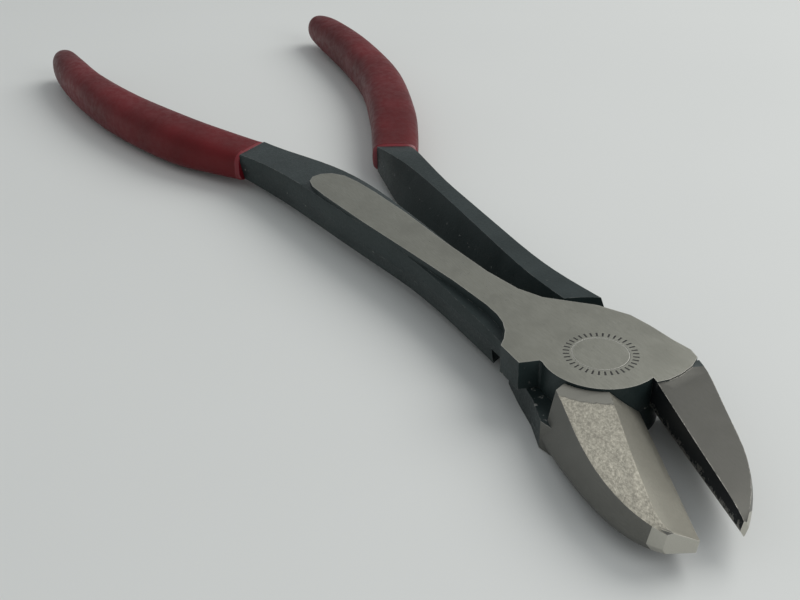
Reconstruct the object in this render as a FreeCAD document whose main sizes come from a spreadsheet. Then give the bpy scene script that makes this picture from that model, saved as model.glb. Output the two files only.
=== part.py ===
import FreeCAD, Part
import math
import os
import Sketcher

# Long-handled diagonal cutting pliers, millimetres.
# Origin: pivot axis where it meets the ground underside of the head.  +X to the jaws, +Z up.
# The two forged levers are half-lapped: the upper one owns the disc above the lap plane,
# the lower one the disc below it.  A countersunk rivet, pressed into the lower lever, joins them.

V = FreeCAD.Vector
doc = FreeCAD.newDocument("cutters")
sheet = doc.addObject("Spreadsheet::Sheet", "Sizes")

SIZES = {
    "head_thick": 12.0,      # over the two ground faces of the head
    "lap_gap": 0.04,         # each half stops this far short of the lap plane
    "disc_radius": 11.3,     # round boss of each half-lap
    "recess_radius": 11.5,   # recess that the other lever's disc turns in
    "sweep_radius": 22.0,    # cleared for the other lever's shoulder
    "rivet_radius": 4.0,
    "rivet_head": 5.3,
    "rivet_sink": 2.4,       # depth of each countersink
    "rivet_play": 0.04,      # radial play in the upper lever
    "upper_edge": 6.0,       # cutting edge to pivot axis, upper jaw
    "lower_edge": 4.8,       # cutting edge to pivot axis, lower jaw
    "upper_turn": -15.0,     # direction of each cutting edge, degrees
    "lower_turn": -22.5,
    "stop_angle": 70.5,      # radial back face of each jaw
    "shoulder_angle": 108.5, # radial front face of each shoulder
}
for row, (alias, value) in enumerate(SIZES.items(), start=1):
    sheet.set("A%d" % row, alias)
    sheet.set("B%d" % row, repr(value))
    sheet.setAlias("B%d" % row, alias)
doc.recompute()
size = {alias: sheet.get(alias) for alias in SIZES}
MID = size["head_thick"] / 2
TOP = size["head_thick"]

# Arm stations: x, outer ridge, inner side at the top, inner side at the bottom, low z, high z.
# The outer side has a forging ridge nearer the ground stripe.  The inner sides lean the same
# way on both levers, so that they nest as the handles close.
UPPER_ARM = [
    (-122.4, -22.9, -12.9, -12.9, 2.6, 9.6),
    (-108, -19.2, -8.0, -11.6, 1.9, 10.3),
    (-95, -17.4, -4.4, -10.6, 2.0, 10.9),
    (-80, -15.8, -2.6, -8.6, 2.2, 11.2),
    (-62, -13.4, -1.9, -6.4, 2.2, 11.1),
    (-45, -11.8, -1.4, -4.8, 2.2, 10.6),
    (-32, -11.8, -1.0, -3.4, 2.2, 10.2),
    (-20, -12.0, 0.4, -2.0, 2.0, 9.8),
    (-8, -12.8, 4.0, 2.0, 1.8, 9.6),
]
LOWER_ARM = [
    (-105.6, 19.4, 10.0, 10.0, 2.6, 9.4),
    (-95, 17.9, 11.0, 7.8, 1.7, 10.2),
    (-80, 15.9, 10.6, 6.0, 1.0, 10.2),
    (-62, 14.6, 9.1, 4.8, 1.0, 10.3),
    (-45, 13.4, 7.5, 3.8, 1.4, 10.4),
    (-32, 13.1, 6.6, 4.0, 1.8, 10.6),
    (-20, 14.2, 6.8, 4.6, 2.2, 10.8),
    (-8, 14.8, 5.2, 4.0, 2.4, 10.8),
]
# Steel core inside the grip, and the grip round it: x, centre y, half width, half height.
UPPER_CORE = [
    (-122.4, -17.9, 3.6, 2.7),
    (-145, -29.4, 3.2, 2.6),
    (-168, -36.4, 3.0, 2.6),
    (-190, -40.0, 2.8, 2.4),
    (-208, -40.6, 2.4, 2.2),
]
LOWER_CORE = [
    (-105.6, 14.7, 3.6, 2.7),
    (-130, 27.6, 3.2, 2.6),
    (-154, 36.4, 3.0, 2.6),
    (-178, 41.0, 2.8, 2.4),
    (-200, 42.4, 2.4, 2.2),
]
UPPER_GRIP = [
    (-122.4, -17.9, 6.0, 3.9),
    (-132, -23.2, 6.4, 4.6),
    (-145, -29.4, 6.6, 5.5),
    (-168, -36.4, 6.0, 5.75),
    (-190, -40.0, 5.0, 5.75),
    (-208, -40.6, 4.6, 5.4),
    (-218, -40.0, 4.2, 4.8),
    (-222.5, -39.6, 2.4, 2.8),
]
LOWER_GRIP = [
    (-105.6, 14.7, 5.8, 3.8),
    (-116, 20.3, 6.2, 4.5),
    (-130, 27.1, 6.3, 5.5),
    (-154, 36.0, 6.0, 5.75),
    (-178, 40.5, 5.5, 5.75),
    (-199, 42.2, 4.8, 5.4),
    (-208.6, 42.2, 4.2, 4.8),
    (-212.8, 42.1, 2.4, 2.8),
]
# Jaw stations along the cutting edge: distance from the pivot; then, square to the edge,
# full width, ridge and crest; then heights from the lap plane of crest, widest line, flank.
UPPER_JAW = [
    (6.0, 11.2, 8.8, 6.0, 5.8, 4.16, 5.96),
    (14, 10.6, 8.2, 6.0, 5.4, 3.6, 5.4),
    (22, 9.4, 7.0, 5.6, 4.6, 2.8, 4.6),
    (30, 8.1, 6.0, 4.6, 3.6, 2.1, 3.9),
    (36, 6.1, 4.6, 3.6, 2.9, 1.6, 3.4),
    (41, 3.5, 2.6, 2.1, 2.1, 1.0, 2.8),
    (44, 1.4, 1.0, 0.8, 1.3, 0.4, 2.0),
]
LOWER_JAW = [
    (5.0, 18.4, 15.8, 6.0, 5.7, 4.0, 5.8),
    (14, 17.4, 15.0, 6.3, 5.55, 3.4, 5.2),
    (22, 16.0, 14.6, 6.5, 5.1, 2.9, 4.6),
    (30, 14.1, 13.3, 6.6, 4.2, 2.4, 4.0),
    (36, 11.9, 11.3, 6.4, 3.4, 2.0, 3.6),
    (41, 8.9, 8.5, 6.0, 2.7, 1.6, 3.1),
    (44.2, 5.8, 5.4, 4.4, 2.0, 1.2, 2.4),
]
# Each lever's own half of the head: shoulder and outer side of its ground stripe, then the
# stripe's inner side and the body that runs on to the jaw.
UPPER_OUTER = [
    (-3.7, -11.0), (-4.9, -14.7), (-11.4, -14.4), (-13.0, -12.7), (-15.2, -11.0),
    (-18.0, -9.7), (-21.0, -9.1), (-25.0, -9.0), (-36.0, -9.8), (-53.0, -11.9),
    (-68.0, -13.9), (-84.0, -15.6), (-90.0, -15.9), (-93.0, -15.2), (-94.8, -13.6),
]
UPPER_INNER = [
    (-95.2, -11.2), (-94.2, -8.8), (-91.6, -6.8), (-87.0, -5.6), (-80.0, -4.6),
    (-68.0, -3.5), (-50.0, -2.8), (-36.0, -1.8), (-27.0, -0.2), (-21.8, 2.2),
    (-19.0, 4.9), (-14.0, 9.8), (-8.0, 13.1), (-3.0, 14.0), (3.0, 14.5),
    (7.0, 15.2), (9.6, 14.6), (11.3, 12.0), (12.3, 8.6), (12.6, 5.6), (12.2, 3.2),
]
LOWER_OUTER = [
    (-3.7, 11.0), (-4.9, 14.7), (-11.2, 14.4), (-15.0, 12.4), (-19.0, 11.5),
    (-25.0, 11.0), (-36.0, 11.3), (-53.0, 12.9), (-68.0, 14.3), (-77.0, 15.0), (-79.4, 13.8),
]
LOWER_INNER = [
    (-80.0, 12.0), (-78.6, 10.6), (-68.0, 7.6), (-50.0, 6.2), (-36.0, 6.6), (-27.0, 6.6),
    (-22.5, 5.2), (-19.8, 1.5), (-17.5, -6.0), (-14.4, -10.2), (-8.0, -12.2), (-1.0, -14.0),
    (5.0, -16.4), (9.8, -15.6), (11.6, -12.0), (12.4, -8.6), (12.6, -5.6), (12.2, -3.2),
]


def new_body(name):
    body = doc.addObject("PartDesign::Body", name)
    body.Label = name
    return body


def plane(body, role):
    for feature in body.Origin.OriginFeatures:
        if feature.Role == role:
            return feature


def new_sketch(body, name, role, offset=None):
    sketch = body.newObject("Sketcher::SketchObject", name)
    sketch.AttachmentSupport = (plane(body, role), [""])
    sketch.MapMode = "FlatFace"
    if offset:
        sketch.AttachmentOffset = offset
    return sketch


def closed_polygon(sketch, points):
    count = len(points)
    for i, (x, y) in enumerate(points):
        x2, y2 = points[(i + 1) % count]
        sketch.addGeometry(Part.LineSegment(V(x, y, 0), V(x2, y2, 0)), False)
    for i in range(count):
        sketch.addConstraint(Sketcher.Constraint("Coincident", i, 2, (i + 1) % count, 1))


def circle(sketch, radius_alias):
    index = sketch.addGeometry(Part.Circle(V(0, 0, 0), V(0, 0, 1), size[radius_alias]), False)
    sketch.addConstraint(Sketcher.Constraint("Coincident", index, 3, -1, 1))
    number = sketch.addConstraint(Sketcher.Constraint("Radius", index, size[radius_alias]))
    sketch.setExpression("Constraints[%d]" % number, "Sizes." + radius_alias)


def loft(body, name, sketches, subtractive=False):
    kind = "PartDesign::SubtractiveLoft" if subtractive else "PartDesign::AdditiveLoft"
    feature = body.newObject(kind, name)
    feature.Profile = sketches[0]
    feature.Sections = sketches[1:]
    doc.recompute()
    return feature


def station(body, name, x, y, turn):
    # sketch plane square to a path that is turned this many degrees from +X
    offset = FreeCAD.Placement(V(y, 0, x), FreeCAD.Rotation(V(0, 1, 0), turn))
    return new_sketch(body, name, "YZ_Plane", offset)


def path_turns(stations):
    turns = []
    last = len(stations) - 1
    for i in range(len(stations)):
        x0, y0 = stations[max(i - 1, 0)][:2]
        x1, y1 = stations[min(i + 1, last)][:2]
        turns.append(math.degrees(math.atan2(y0 - y1, x0 - x1)))
    return turns


def arm_sections(body, name, stations, cuff_turn):
    sketches = []
    for i, (x, outer, top, bottom, low, high) in enumerate(stations):
        upper = outer < top
        middle = (outer + (top + bottom) / 2) / 2
        top_draft = 0.3 if upper else -1.2
        low_draft = 1.4 if upper else -1.2
        ridge_z = MID + 1.8 if upper else MID
        sketch = station(body, "%s_%d" % (name, i), x, middle, 0.0 if i else cuff_turn)
        closed_polygon(sketch, [(outer - middle, ridge_z), (outer + top_draft - middle, high),
                                (top - middle, high), (bottom - middle, low),
                                (outer + low_draft - middle, low)])
        sketches.append(sketch)
    return sketches


def core_sections(body, name, stations):
    sketches = []
    for i, (x, yc, half, tall) in enumerate(stations):
        sketch = station(body, "%s_%d" % (name, i), x, yc, path_turns(stations)[i])
        closed_polygon(sketch, [(-half, MID - tall), (half, MID - tall),
                                (half, MID + tall), (-half, MID + tall)])
        sketches.append(sketch)
    return sketches


def grip_sections(body, name, stations, cuff_turn):
    turns = [cuff_turn] + path_turns(stations)[1:]
    sketches = []
    for i, (x, yc, half, tall) in enumerate(stations):
        sketch = station(body, "%s_%d" % (name, i), x, yc, turns[i])
        points = []
        for k in range(16):
            angle = 2 * math.pi * (k + 0.5) / 16
            c = math.cos(angle)
            s = math.sin(angle)
            points.append((half * math.copysign(abs(c) ** 0.75, c),
                           MID + tall * math.copysign(abs(s) ** 0.75, s)))
        closed_polygon(sketch, points)
        sketches.append(sketch)
    return sketches


def jaw_sections(body, name, stations, turn, edge, side):
    # side +1: the jaw lies on the +Y side of its edge and its wide bevel faces down.
    # side -1: the jaw lies on the -Y side and its wide bevel faces up.
    along = V(math.cos(math.radians(turn)), math.sin(math.radians(turn)), 0)
    across = V(-along.y, along.x, 0)
    sketches = []
    for i, (s, width, ridge, crest, crest_z, wide_z, flank_z) in enumerate(stations):
        point = along * s + across * edge
        sketch = station(body, "%s_%d" % (name, i), point.x, point.y, turn)
        closed_polygon(sketch, [
            (0, MID),
            (side * crest, MID - side * crest_z),
            (side * ridge, MID - side * (crest_z - 0.25)),
            (side * width, MID + side * wide_z),
            (side * (width - 0.5), MID + side * (flank_z - 0.3)),
            (side * 0.35, MID + side * flank_z),
        ])
        sketches.append(sketch)
    return sketches


def disc_arc(start, stop, steps, radius):
    # points on a circle round the pivot, angles in degrees
    points = []
    for i in range(steps + 1):
        angle = math.radians(start + (stop - start) * i / steps)
        points.append((radius * math.cos(angle), radius * math.sin(angle)))
    return points


def lap_sector(body, name, side, cut_low):
    # clears one lever's half of the head for the other lever's disc, shoulder and body
    edge_z = MID + size["lap_gap"] if cut_low else MID - size["lap_gap"]
    base = -3.0 if cut_low else edge_z
    depth = edge_z + 3.0 if cut_low else TOP + 3.0 - edge_z
    # wide from the jaw's back face round behind the pivot to the far side, then disc-sized
    wide = disc_arc(side * size["stop_angle"], side * 290.0, 44, size["sweep_radius"])
    close = disc_arc(side * 290.0, side * (360.0 + size["stop_angle"]), 40, size["recess_radius"])
    sketch = new_sketch(body, name + "_sketch", "XY_Plane",
                        FreeCAD.Placement(V(0, 0, base), FreeCAD.Rotation()))
    closed_polygon(sketch, wide + close)
    pocket = body.newObject("PartDesign::Pocket", name)
    before = body.Shape.Volume
    pocket.Profile = sketch
    pocket.Length = depth
    pocket.Reversed = True
    doc.recompute()
    if pocket.Shape.Volume > before - 1:
        raise RuntimeError(name + " cuts nothing")
    return pocket


def plateau(body, name, outer, inner, upper):
    # the lever's own half of the head with its ground stripe along the arm
    side = 1 if upper else -1
    arc = disc_arc(-side * size["shoulder_angle"], side * 18.0, 42, size["disc_radius"])
    base = MID + size["lap_gap"] if upper else 0.0
    sketch = new_sketch(body, name + "_plateau_sketch", "XY_Plane",
                        FreeCAD.Placement(V(0, 0, base), FreeCAD.Rotation()))
    closed_polygon(sketch, list(reversed(outer)) + arc[1:] + list(reversed(inner)))
    pad = body.newObject("PartDesign::Pad", name + "_plateau")
    pad.Profile = sketch
    pad.setExpression("Length", "Sizes.head_thick / 2 - Sizes.lap_gap")
    doc.recompute()
    return pad


def rivet_profile(grow, low, high):
    head = size["rivet_head"] + grow
    shank = size["rivet_radius"] + grow
    sink = size["rivet_sink"]
    points = [(0.0, low)]
    if low <= 0:
        points += [(head, low), (head, 0.0), (shank, sink)]
    else:
        points += [(shank, low)]
    if high >= TOP:
        points += [(shank, TOP - sink), (head, TOP), (head, high)]
    else:
        points += [(shank, high)]
    points += [(0.0, high)]
    cleaned = []
    for point in points:
        if not cleaned or point != cleaned[-1]:
            cleaned.append(point)
    return cleaned


def revolve(body, name, points, cut=False):
    sketch = new_sketch(body, name + "_sketch", "XZ_Plane")
    closed_polygon(sketch, points)
    feature = body.newObject("PartDesign::Groove" if cut else "PartDesign::Revolution", name)
    feature.Profile = sketch
    feature.ReferenceAxis = (sketch, ["V_Axis"])
    feature.Angle = 360
    doc.recompute()
    return feature


def lever(name, outlines, arm, core, jaw, turn, edge, upper):
    body = new_body(name)
    plateau(body, name, outlines[0], outlines[1], upper)
    cuff_turn = path_turns(core)[0]
    loft(body, name + "_arm", arm_sections(body, name + "_arm_at", arm, cuff_turn))
    loft(body, name + "_core", core_sections(body, name + "_core_at", core))
    side = 1 if upper else -1
    loft(body, name + "_jaw", jaw_sections(body, name + "_jaw_at", jaw, turn, edge, side))
    lap_sector(body, name + "_lap", side, upper)
    if upper:
        hole = revolve(body, name + "_bore",
                       rivet_profile(size["rivet_play"], MID - 1.0, TOP + 1.0), cut=True)
    else:
        hole = revolve(body, name + "_bore", rivet_profile(0.0, -1.0, MID + 1.0), cut=True)
    body.Tip = hole
    return body


def grip(name, outer, core):
    body = new_body(name)
    skin = grip_sections(body, name + "_skin_at", outer, path_turns(core)[0])
    loft(body, name + "_skin", skin)
    body.Tip = loft(body, name + "_bore", core_sections(body, name + "_bore_at", core), True)
    return body


upper_lever = lever("upper_lever", (UPPER_OUTER, UPPER_INNER), UPPER_ARM, UPPER_CORE, UPPER_JAW,
                    size["upper_turn"], size["upper_edge"], True)
lower_lever = lever("lower_lever", (LOWER_OUTER, LOWER_INNER), LOWER_ARM, LOWER_CORE, LOWER_JAW,
                    size["lower_turn"], size["lower_edge"], False)
upper_grip = grip("upper_grip", UPPER_GRIP, UPPER_CORE)
lower_grip = grip("lower_grip", LOWER_GRIP, LOWER_CORE)
rivet = new_body("rivet")
rivet.Tip = revolve(rivet, "rivet_turned", rivet_profile(0.0, 0.0, TOP))
doc.recompute()

for obj in doc.Objects:
    if "Invalid" in obj.State or "Error" in obj.State:
        raise RuntimeError("failed: %s %s" % (obj.Name, obj.State))

nodes = [upper_lever, lower_lever, rivet, upper_grip, lower_grip]
os.makedirs("parts", exist_ok=True)
for body in nodes:
    shape = body.Shape
    if shape.isNull() or not shape.isValid():
        raise RuntimeError("bad shape: " + body.Label)
    box = shape.BoundBox
    print(body.Label, "solids", len(shape.Solids), "volume %.1f" % shape.Volume,
          "x %.1f %.1f y %.1f %.1f z %.2f %.2f" % (box.XMin, box.XMax, box.YMin, box.YMax,
                                                 box.ZMin, box.ZMax))
for body in nodes:
    body.Shape.exportStep("parts/%s.step" % body.Label)
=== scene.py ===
import math

import bmesh
import bpy
from mathutils import Matrix, Vector, noise


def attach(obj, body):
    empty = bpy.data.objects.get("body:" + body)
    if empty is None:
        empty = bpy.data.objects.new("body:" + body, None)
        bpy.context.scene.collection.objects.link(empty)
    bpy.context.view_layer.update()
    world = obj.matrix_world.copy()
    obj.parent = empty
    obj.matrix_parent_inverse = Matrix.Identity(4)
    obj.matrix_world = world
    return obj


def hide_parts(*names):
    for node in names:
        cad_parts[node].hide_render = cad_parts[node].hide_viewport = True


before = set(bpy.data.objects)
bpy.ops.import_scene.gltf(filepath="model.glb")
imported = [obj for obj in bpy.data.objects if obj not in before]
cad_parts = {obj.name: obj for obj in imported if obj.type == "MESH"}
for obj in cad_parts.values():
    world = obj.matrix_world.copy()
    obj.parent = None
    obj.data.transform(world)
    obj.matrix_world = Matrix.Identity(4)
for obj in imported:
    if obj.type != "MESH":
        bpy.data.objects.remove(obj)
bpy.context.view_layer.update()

MM = 0.001
HEAD = 12.0            # thickness over the two ground faces, mm
LAP = HEAD / 2         # height of the lap plane, mm
DISC_RADIUS = 11.6     # just past the lap disc, mm
RING_RADIUS = (5.75, 7.05)   # ring of ticks round the rivet, mm
RIVET_HEAD = 5.3       # radius of the rivet's flush head, mm
UPPER_EDGE = (-15.0, 6.0)    # cutting edge: direction in degrees, distance from the pivot, mm
LOWER_EDGE = (-22.5, 4.8)
JAW_START = 7.0        # distance along the cutting edge from the pivot, mm
TIP_START = 42.0
SHARP = math.radians(24)     # edges that turn more than this stay crisp
# pale steel painted along the edges: a painted edge highlight, partly also edge wear
EDGE_HIGHLIGHT_AND_WEAR_STEEL = (0.62, 0.61, 0.56)
scene = bpy.context.scene


# ---------- node helpers ----------

class Nodes:
    def __init__(self, name):
        self.material = bpy.data.materials.new(name)
        self.material.use_nodes = True
        self.tree = self.material.node_tree
        self.tree.nodes.clear()
        self.output = self.tree.nodes.new("ShaderNodeOutputMaterial")
        self.shader = self.tree.nodes.new("ShaderNodeBsdfPrincipled")
        self.tree.links.new(self.shader.outputs[0], self.output.inputs[0])
        coords = self.tree.nodes.new("ShaderNodeTexCoord")
        scale = self.tree.nodes.new("ShaderNodeVectorMath")
        scale.operation = "SCALE"
        scale.inputs["Scale"].default_value = 1000.0
        self.tree.links.new(coords.outputs["Object"], scale.inputs[0])
        self.mm = scale.outputs[0]
        split = self.tree.nodes.new("ShaderNodeSeparateXYZ")
        self.tree.links.new(self.mm, split.inputs[0])
        self.x, self.y, self.z = split.outputs

    def put(self, socket, value):
        if isinstance(value, bpy.types.NodeSocket):
            self.tree.links.new(value, socket)
        else:
            socket.default_value = value

    def math(self, operation, a, b=0.0):
        node = self.tree.nodes.new("ShaderNodeMath")
        node.operation = operation
        for socket, value in zip(node.inputs, (a, b)):
            self.put(socket, value)
        return node.outputs[0]

    def turned(self, degrees, factors):
        node = self.tree.nodes.new("ShaderNodeMapping")
        self.put(node.inputs["Vector"], self.mm)
        node.inputs["Rotation"].default_value = (0, 0, math.radians(degrees))
        node.inputs["Scale"].default_value = factors
        return node.outputs[0]

    def noise(self, scale, detail=3.0, rough=0.55, vector=None):
        node = self.tree.nodes.new("ShaderNodeTexNoise")
        self.put(node.inputs["Vector"], vector or self.mm)
        node.inputs["Scale"].default_value = scale
        node.inputs["Detail"].default_value = detail
        node.inputs["Roughness"].default_value = rough
        return node.outputs["Fac"]

    def band(self, value, low, high):
        # 0 below low, 1 above high, smooth between
        node = self.tree.nodes.new("ShaderNodeMapRange")
        node.interpolation_type = "SMOOTHSTEP"
        self.put(node.inputs["Value"], value)
        self.put(node.inputs["From Min"], low)
        self.put(node.inputs["From Max"], high)
        return node.outputs["Result"]

    def mix(self, factor, a, b):
        node = self.tree.nodes.new("ShaderNodeMix")
        node.data_type = "RGBA"
        self.put(node.inputs[0], factor)
        for socket, value in ((node.inputs[6], a), (node.inputs[7], b)):
            self.put(socket, (*value, 1.0) if isinstance(value, tuple) else value)
        return node.outputs[2]

    def blend(self, factor, a, b):
        node = self.tree.nodes.new("ShaderNodeMix")
        node.data_type = "FLOAT"
        self.put(node.inputs[0], factor)
        self.put(node.inputs[2], a)
        self.put(node.inputs[3], b)
        return node.outputs[0]

    def bump(self, height, strength, distance_mm, normal=None):
        node = self.tree.nodes.new("ShaderNodeBump")
        node.inputs["Strength"].default_value = strength
        node.inputs["Distance"].default_value = distance_mm * MM
        self.put(node.inputs["Height"], height)
        if normal is not None:
            self.put(node.inputs["Normal"], normal)
        return node.outputs[0]

    def edge(self, radius_mm, low, high):
        # 1 on convex and concave edges, where a rounded normal leaves the flat one
        bevel = self.tree.nodes.new("ShaderNodeBevel")
        bevel.samples = 4
        bevel.inputs["Radius"].default_value = radius_mm * MM
        geometry = self.tree.nodes.new("ShaderNodeNewGeometry")
        dot = self.tree.nodes.new("ShaderNodeVectorMath")
        dot.operation = "DOT_PRODUCT"
        self.put(dot.inputs[0], bevel.outputs[0])
        self.put(dot.inputs[1], geometry.outputs["Normal"])
        return self.band(self.math("SUBTRACT", 1.0, dot.outputs["Value"]), low, high)

    def finish(self, color, metallic, roughness, normal=None):
        self.put(self.shader.inputs["Base Color"], color)
        self.put(self.shader.inputs["Metallic"], metallic)
        self.put(self.shader.inputs["Roughness"], roughness)
        if normal is not None:
            self.put(self.shader.inputs["Normal"], normal)
        return self.material

    def radius(self):
        return self.math("SQRT", self.math("ADD", self.math("MULTIPLY", self.x, self.x),
                                           self.math("MULTIPLY", self.y, self.y)))


# ---------- materials ----------

def ground_steel():
    n = Nodes("ground_steel")
    lines = n.noise(1.0, 4.0, 0.6, n.turned(28, (0.35, 9.0, 1.0)))
    cross = n.noise(1.0, 3.0, 0.6, n.turned(-40, (0.5, 6.0, 1.0)))
    cloud = n.noise(0.12, 3.0)
    speck = n.band(n.noise(2.2, 2.0), 0.69, 0.74)
    color = n.mix(n.band(lines, 0.3, 0.7), (0.235, 0.235, 0.20), (0.30, 0.30, 0.262))
    color = n.mix(n.math("MULTIPLY", n.band(cloud, 0.35, 0.7), 0.5), color, (0.20, 0.20, 0.172))
    color = n.mix(n.math("MULTIPLY", speck, 0.6), color, (0.10, 0.10, 0.09))
    r = n.radius()
    # ring of plain radial ticks round the rivet, and the rivet's faint outline
    angle = n.math("ARCTAN2", n.y, n.x)
    wave = n.math("COSINE", n.math("MULTIPLY", angle, 36.0))
    tick = n.band(wave, 0.35, 0.6)
    inside = n.math("MULTIPLY", n.band(r, RING_RADIUS[0], RING_RADIUS[0] + 0.1),
                    n.band(r, RING_RADIUS[1], RING_RADIUS[1] - 0.1))
    tick = n.math("MULTIPLY", tick, inside)
    off_rim = n.math("ABSOLUTE", n.math("SUBTRACT", r, RIVET_HEAD))
    rim = n.math("SUBTRACT", 1.0, n.band(off_rim, 0.03, 0.16))
    mark = n.math("MAXIMUM", tick, n.math("MULTIPLY", rim, 0.45))
    color = n.mix(mark, color, (0.045, 0.045, 0.042))
    rough = n.blend(n.band(cross, 0.3, 0.7), 0.36, 0.5)
    height = n.math("ADD", n.math("MULTIPLY", lines, 0.6), n.math("MULTIPLY", cross, 0.4))
    height = n.math("SUBTRACT", height, n.math("MULTIPLY", mark, 2.0))
    # edges lightened to pale steel all round: painted edge highlight, partly edge wear
    edge_highlight_and_wear = n.edge(0.35, 0.02, 0.2)
    color = n.mix(n.math("MULTIPLY", edge_highlight_and_wear, 0.7), color, EDGE_HIGHLIGHT_AND_WEAR_STEEL)
    return n.finish(color, 0.85, rough, n.bump(height, 0.25, 0.06))


def ground_dark(name, low, high, turn, roughness):
    n = Nodes(name)
    lines = n.noise(1.0, 4.0, 0.6, n.turned(turn, (0.5, 7.0, 7.0)))
    cloud = n.noise(0.25, 3.0)
    color = n.mix(n.band(lines, 0.3, 0.7), low, high)
    color = n.mix(n.math("MULTIPLY", n.band(cloud, 0.4, 0.7), 0.4), color, low)
    # edges lightened in patches: painted edge highlight mixed with edge wear
    edge_highlight_and_wear = n.math("MULTIPLY", n.edge(0.3, 0.02, 0.2), n.band(n.noise(1.1, 3.0), 0.35, 0.6))
    color = n.mix(n.math("MULTIPLY", edge_highlight_and_wear, 0.8), color, (0.60, 0.58, 0.53))
    rough = n.blend(n.band(lines, 0.3, 0.7), roughness, roughness + 0.12)
    return n.finish(color, 0.8, rough, n.bump(lines, 0.2, 0.05))


def rough_forged():
    # rough strip on each jaw, with a flat ground band next to the lap
    n = Nodes("blasted_steel")
    grain = n.noise(1.7, 4.0, 0.6)
    coarse = n.noise(0.4, 4.0, 0.6)
    pits = n.band(n.noise(1.6, 4.0, 0.6), 0.56, 0.68)
    color = n.mix(n.band(grain, 0.35, 0.65), (0.30, 0.287, 0.24), (0.43, 0.41, 0.345))
    color = n.mix(n.math("MULTIPLY", n.band(coarse, 0.45, 0.7), 0.35), color, (0.24, 0.225, 0.19))
    color = n.mix(n.math("MULTIPLY", pits, 0.2), color, (0.20, 0.19, 0.165))
    r = n.radius()
    edge_of_band = n.math("ADD", r, n.math("MULTIPLY", n.noise(0.8, 3.0), 1.2))
    flat = n.math("SUBTRACT", 1.0, n.band(edge_of_band, 15.4, 15.9))
    color = n.mix(flat, color, (0.25, 0.245, 0.215))
    height = n.math("ADD", n.math("MULTIPLY", grain, 0.5), coarse)
    height = n.math("MULTIPLY", height, n.math("SUBTRACT", 1.0, flat))
    rough = n.blend(flat, 0.58, 0.4)
    return n.finish(color, 0.7, rough, n.bump(height, 0.7, 0.35))


def bright_tip():
    n = Nodes("bright_steel")
    lines = n.noise(1.0, 4.0, 0.6, n.turned(60, (0.5, 6.0, 6.0)))
    color = n.mix(lines, (0.40, 0.39, 0.345), (0.52, 0.505, 0.45))
    # edges lightened to pale steel: painted edge highlight, partly edge wear
    edge_highlight_and_wear = n.edge(0.3, 0.02, 0.2)
    color = n.mix(n.math("MULTIPLY", edge_highlight_and_wear, 0.8), color, EDGE_HIGHLIGHT_AND_WEAR_STEEL)
    return n.finish(color, 0.8, 0.42, n.bump(lines, 0.2, 0.05))


def black_oxide():
    n = Nodes("black_oxide")
    fine = n.noise(1.8, 5.0, 0.65)
    cloud = n.noise(0.07, 3.0)
    speck = n.band(n.noise(0.9, 3.0, 0.6), 0.70, 0.74)
    color = n.mix(n.band(cloud, 0.35, 0.65), (0.016, 0.026, 0.026), (0.026, 0.038, 0.038))
    color = n.mix(n.math("MULTIPLY", n.band(fine, 0.5, 0.75), 0.35), color, (0.020, 0.024, 0.026))
    color = n.mix(n.math("MULTIPLY", speck, 0.5), color, (0.13, 0.13, 0.12))
    # bare specks in a narrow band at mid height
    middle = n.math("ABSOLUTE", n.math("SUBTRACT", n.z, LAP))
    middle = n.math("SUBTRACT", 1.0, n.band(middle, 0.15, 0.5))
    chips = n.band(n.noise(0.8, 4.0, 0.7), 0.60, 0.66)
    color = n.mix(n.math("MULTIPLY", n.math("MULTIPLY", middle, chips), 0.8), color, (0.34, 0.34, 0.32))
    # grey on the edges in patches: painted edge highlight mixed with bare, worn edges
    edge_highlight_and_wear = n.math("MULTIPLY", n.edge(0.3, 0.04, 0.25), n.band(n.noise(0.5, 4.0, 0.7), 0.42, 0.62))
    color = n.mix(n.math("MULTIPLY", edge_highlight_and_wear, 0.55), color, (0.30, 0.30, 0.28))
    rough = n.blend(n.band(fine, 0.3, 0.7), 0.36, 0.5)
    n.shader.inputs["Specular IOR Level"].default_value = 0.28
    return n.finish(color, 0.2, rough, n.bump(fine, 0.3, 0.12))


def nicked_wall():
    # black flank whose rim along the cutting edge is bare, ragged metal
    n = Nodes("nicked_flank")
    fine = n.noise(1.8, 5.0, 0.65)
    depth = n.math("ABSOLUTE", n.math("SUBTRACT", n.z, LAP))
    ragged = n.math("ADD", 0.15, n.math("MULTIPLY", n.band(n.noise(0.9, 4.0, 0.7), 0.42, 0.7), 1.5))
    bare = n.math("SUBTRACT", 1.0, n.band(n.math("SUBTRACT", depth, ragged), -0.05, 0.12))
    color = n.mix(bare, (0.018, 0.021, 0.023), (0.40, 0.39, 0.36))
    rough = n.blend(bare, 0.42, 0.32)
    return n.finish(color, n.blend(bare, 0.35, 0.9), rough, n.bump(fine, 0.3, 0.1))


def vinyl():
    n = Nodes("dipped_vinyl")
    skin = n.noise(0.55, 4.0, 0.6)
    cloud = n.noise(0.05, 2.0)
    dust = n.band(n.noise(2.6, 3.0, 0.7), 0.66, 0.72)
    color = n.mix(n.band(cloud, 0.3, 0.7), (0.08, 0.0025, 0.004), (0.125, 0.005, 0.008))
    color = n.mix(n.math("MULTIPLY", dust, 0.05), color, (0.20, 0.07, 0.07))
    rough = n.blend(n.band(skin, 0.35, 0.65), 0.38, 0.52)
    n.shader.inputs["Subsurface Weight"].default_value = 0.04
    n.shader.inputs["Subsurface Radius"].default_value = (0.002, 0.0005, 0.0005)
    n.shader.inputs["Specular IOR Level"].default_value = 0.22
    fine = n.noise(3.5, 3.0, 0.6)
    height = n.math("ADD", skin, n.math("MULTIPLY", fine, 0.12))
    return n.finish(color, 0.0, rough, n.bump(height, 0.25, 0.25))


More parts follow.
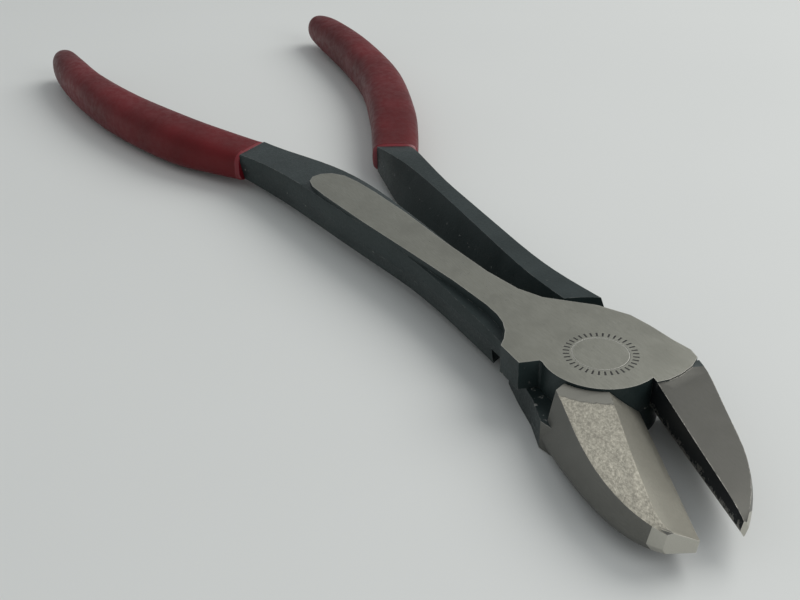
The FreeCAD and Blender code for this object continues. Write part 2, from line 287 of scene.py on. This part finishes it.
def vinyl_rim():
    n = Nodes("vinyl_rim")
    skin = n.noise(0.8, 3.0, 0.6)
    color = n.mix(skin, (0.13, 0.005, 0.010), (0.18, 0.008, 0.015))
    return n.finish(color, 0.0, 0.34, n.bump(skin, 0.2, 0.2))


GROUND = ground_steel()
FACE = ground_dark("ground_jaw_face", (0.135, 0.135, 0.122), (0.18, 0.178, 0.162), 60, 0.4)
DARK_FACE = ground_dark("ground_jaw_top", (0.068, 0.068, 0.06), (0.094, 0.093, 0.084), 60, 0.42)
BEVEL = ground_dark("honed_bevel", (0.20, 0.194, 0.163), (0.26, 0.253, 0.215), 70, 0.5)
BLAST = rough_forged()
TIP = bright_tip()
BLACK = black_oxide()
FLANK = nicked_wall()
VINYL = vinyl()
RIM = vinyl_rim()


# ---------- levers ----------

def lever_skin(node, side, cutting_edge):
    # side +1: the lever's own half of the lap is on top; -1: below.
    # Each flat gets its material by its place along the cutting edge and its direction.
    turn, edge_offset = cutting_edge
    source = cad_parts[node]
    mesh = source.data.copy()
    mesh.name = node + "_forging"
    mesh.transform(source.matrix_world)
    obj = bpy.data.objects.new(node + "_forging", mesh)
    scene.collection.objects.link(obj)
    bm = bmesh.new()
    bm.from_mesh(mesh)
    bmesh.ops.remove_doubles(bm, verts=bm.verts, dist=2e-6)
    bmesh.ops.dissolve_limit(bm, angle_limit=math.radians(0.5), verts=bm.verts, edges=bm.edges)
    bm.to_mesh(mesh)
    bm.free()
    mesh.materials.clear()
    palette = [BLACK, GROUND, FACE, DARK_FACE, BEVEL, BLAST, TIP, FLANK]
    for material in palette:
        mesh.materials.append(material)
    along = Vector((math.cos(math.radians(turn)), math.sin(math.radians(turn)), 0))
    across = Vector((-along.y, along.x, 0))
    for poly in mesh.polygons:
        c = poly.center / MM
        up = poly.normal.z * side
        z = c.z if side > 0 else HEAD - c.z
        s = c.dot(along)
        w = (c.dot(across) - edge_offset) * side
        lean = poly.normal.dot(across) * side
        in_jaw = c.xy.length > DISC_RADIUS and c.x > 2.0 and s > JAW_START and w > -0.4
        kind = BLACK
        if up > 0.999 and z > HEAD - 0.1:
            kind = GROUND
        elif in_jaw and s > TIP_START and poly.normal.dot(along) > 0.55:
            kind = TIP
        elif in_jaw and z > LAP + 0.3 and up > 0.6:
            kind = DARK_FACE
        elif in_jaw and w < 0.7 and abs(up) < 0.5:
            kind = FLANK
        elif in_jaw and z < LAP + 0.2 and up < -0.8 and abs(lean) < 0.2:
            kind = BLAST
        elif in_jaw and z < LAP + 0.2 and lean < -0.2:
            kind = BEVEL
        elif in_jaw and lean > 0.2 and s > JAW_START + 1:
            kind = FACE
        elif in_jaw and z < LAP + 0.2 and up < -0.3:
            kind = FACE
        poly.material_index = palette.index(kind)
    bevel = obj.modifiers.new("edges", "BEVEL")
    bevel.width = 0.18 * MM
    bevel.segments = 2
    bevel.limit_method = "ANGLE"
    bevel.angle_limit = SHARP
    bevel.use_clamp_overlap = True
    mesh.shade_smooth()
    mesh.set_sharp_from_angle(angle=SHARP)
    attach(obj, "upper" if side > 0 else "lower")
    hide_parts(node)
    return obj


lever_skin("upper_lever", 1, UPPER_EDGE)
lever_skin("lower_lever", -1, LOWER_EDGE)
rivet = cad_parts["rivet"]
rivet.data.materials.clear()
rivet.data.materials.append(GROUND)


# ---------- grips ----------

def smooth_station(stations, t):
    # Catmull-Rom through the stations; t runs over 0..len-1
    last = len(stations) - 1
    i = min(int(t), last - 1)
    u = t - i
    a = stations[max(i - 1, 0)]
    b = stations[i]
    c = stations[i + 1]
    d = stations[min(i + 2, last)]
    return [0.5 * (2 * q + (r - p) * u + (2 * p - 5 * q + 4 * r - v) * u * u
                   + (3 * q - p - 3 * r + v) * u ** 3)
            for p, q, r, v in zip(a, b, c, d)]


def grip_skin(node, body, stations, seed):
    rings = []
    count = 110
    segments = 48
    last = len(stations) - 1
    samples = [smooth_station(stations, last * k / count) for k in range(count + 1)]
    bm = bmesh.new()
    for k, (x, y, half, tall, square) in enumerate(samples):
        x0, y0 = samples[max(k - 1, 0)][:2]
        x1, y1 = samples[min(k + 1, count)][:2]
        ahead = Vector((x1 - x0, y1 - y0, 0)).normalized()
        across = Vector((-ahead.y, ahead.x, 0))
        travel = k / count
        # a slight lip just behind the cuff's end
        lip = 1.0 + 0.018 * math.exp(-((travel - 0.012) / 0.008) ** 2)
        if k == 0:
            lip = 0.93
        ring = []
        for j in range(segments):
            angle = 2 * math.pi * j / segments
            c = math.cos(angle)
            s = math.sin(angle)
            u = half * lip * math.copysign(abs(c) ** square, c)
            v = tall * lip * math.copysign(abs(s) ** square, s)
            wobble = noise.noise(Vector((x * 0.05, angle * 0.8, seed))) * 0.12
            point = Vector((x, y, LAP)) + across * (u + wobble * c) + Vector((0, 0, v))
            point.z = max(point.z, 0.02)
            ring.append(bm.verts.new(point * MM))
        rings.append(ring)
    for a, b in zip(rings, rings[1:]):
        for j in range(segments):
            bm.faces.new((a[j], a[(j + 1) % segments], b[(j + 1) % segments], b[j]))
    first = bm.faces.new(list(reversed(rings[0])))
    bm.faces.new(rings[-1])
    bmesh.ops.inset_region(bm, faces=[first], thickness=0.5 * MM)
    bmesh.ops.recalc_face_normals(bm, faces=bm.faces)
    mesh = bpy.data.meshes.new(node + "_skin")
    bm.to_mesh(mesh)
    bm.free()
    mesh.materials.append(VINYL)
    mesh.materials.append(RIM)
    cuff = Vector((samples[0][0], samples[0][1], LAP))
    back = Vector((samples[1][0], samples[1][1], LAP)) - cuff
    for poly in mesh.polygons:
        if (poly.center / MM - cuff).dot(back.normalized()) < 0.7:
            poly.material_index = 1
    mesh.shade_smooth()
    obj = bpy.data.objects.new(node + "_skin", mesh)
    scene.collection.objects.link(obj)
    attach(obj, body)
    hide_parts(node)
    return obj


# x, y, half width, half height, squareness (smaller is squarer)
UPPER_GRIP = [
    (-122.4, -17.9, 6.0, 3.9, 0.55), (-132, -23.2, 6.4, 4.6, 0.6), (-145, -29.4, 6.6, 5.5, 0.68),
    (-168, -36.4, 6.0, 5.75, 0.75), (-190, -40.0, 5.0, 5.75, 0.78), (-208, -40.6, 4.6, 5.3, 0.82),
    (-217.5, -40.1, 3.9, 4.5, 0.9), (-221, -39.8, 2.6, 3.0, 1.0), (-222.3, -39.7, 0.5, 0.6, 1.0),
]
LOWER_GRIP = [
    (-105.6, 14.7, 5.8, 3.8, 0.55), (-116, 20.3, 6.2, 4.5, 0.6), (-130, 27.1, 6.3, 5.5, 0.68),
    (-154, 36.0, 6.0, 5.75, 0.75), (-178, 40.5, 5.5, 5.75, 0.78), (-199, 42.2, 4.8, 5.3, 0.82),
    (-208.2, 42.2, 3.9, 4.5, 0.9), (-211.4, 42.1, 2.6, 3.0, 1.0), (-212.6, 42.1, 0.5, 0.6, 1.0),
]
grip_skin("upper_grip", "upper", UPPER_GRIP, 3.0)
grip_skin("lower_grip", "lower", LOWER_GRIP, 8.0)


# ---------- floor, light, camera ----------

def floor():
    n = Nodes("table_top")
    cloud = n.noise(0.01, 2.0)
    color = n.mix(cloud, (0.66, 0.675, 0.66), (0.70, 0.715, 0.70))
    material = n.finish(color, 0.0, 0.6)
    bpy.ops.mesh.primitive_plane_add(size=6.0, location=(0, 0, -0.0001))
    plane = bpy.context.object
    plane.name = "table"
    plane.data.materials.append(material)


def area_light(name, location, target, size, power, color):
    data = bpy.data.lights.new(name, "AREA")
    data.shape = "DISK"
    data.size = size
    data.energy = power
    data.color = color
    lamp = bpy.data.objects.new(name, data)
    lamp.location = location
    lamp.rotation_euler = (Vector(target) - Vector(location)).to_track_quat("-Z", "Y").to_euler()
    scene.collection.objects.link(lamp)


floor()
area_light("key", (-0.10, 0.75, 0.75), (-0.05, 0, 0), 0.9, 6.0, (1.0, 0.99, 0.97))
area_light("side", (0.75, 0.25, 0.45), (0, 0, 0), 0.6, 2.2, (1.0, 1.0, 1.0))

world = bpy.data.worlds.new("studio")
world.use_nodes = True
world.node_tree.nodes["Background"].inputs["Color"].default_value = (0.95, 0.98, 1.0, 1)
world.node_tree.nodes["Background"].inputs["Strength"].default_value = 0.45
scene.world = world
scene.view_settings.view_transform = "Standard"

# The camera's axes and place are an estimate, made from the ellipse of the ring round the rivet.
camera_data = bpy.data.cameras.new("camera")
camera_data.lens = 54.0
camera_data.sensor_width = 36.0
camera_data.clip_start = 0.01
camera = bpy.data.objects.new("camera", camera_data)
scene.collection.objects.link(camera)
right = Vector((0.4817, 0.8763, -0.0087))
forward = Vector((-0.7519, 0.4083, -0.5176))
upward = right.cross(forward).normalized()
basis = Matrix((right.normalized(), upward, -forward.normalized())).transposed()
camera.matrix_world = Matrix.Translation((0.1432, -0.1195, 0.1345)) @ basis.to_4x4()
scene.camera = camera
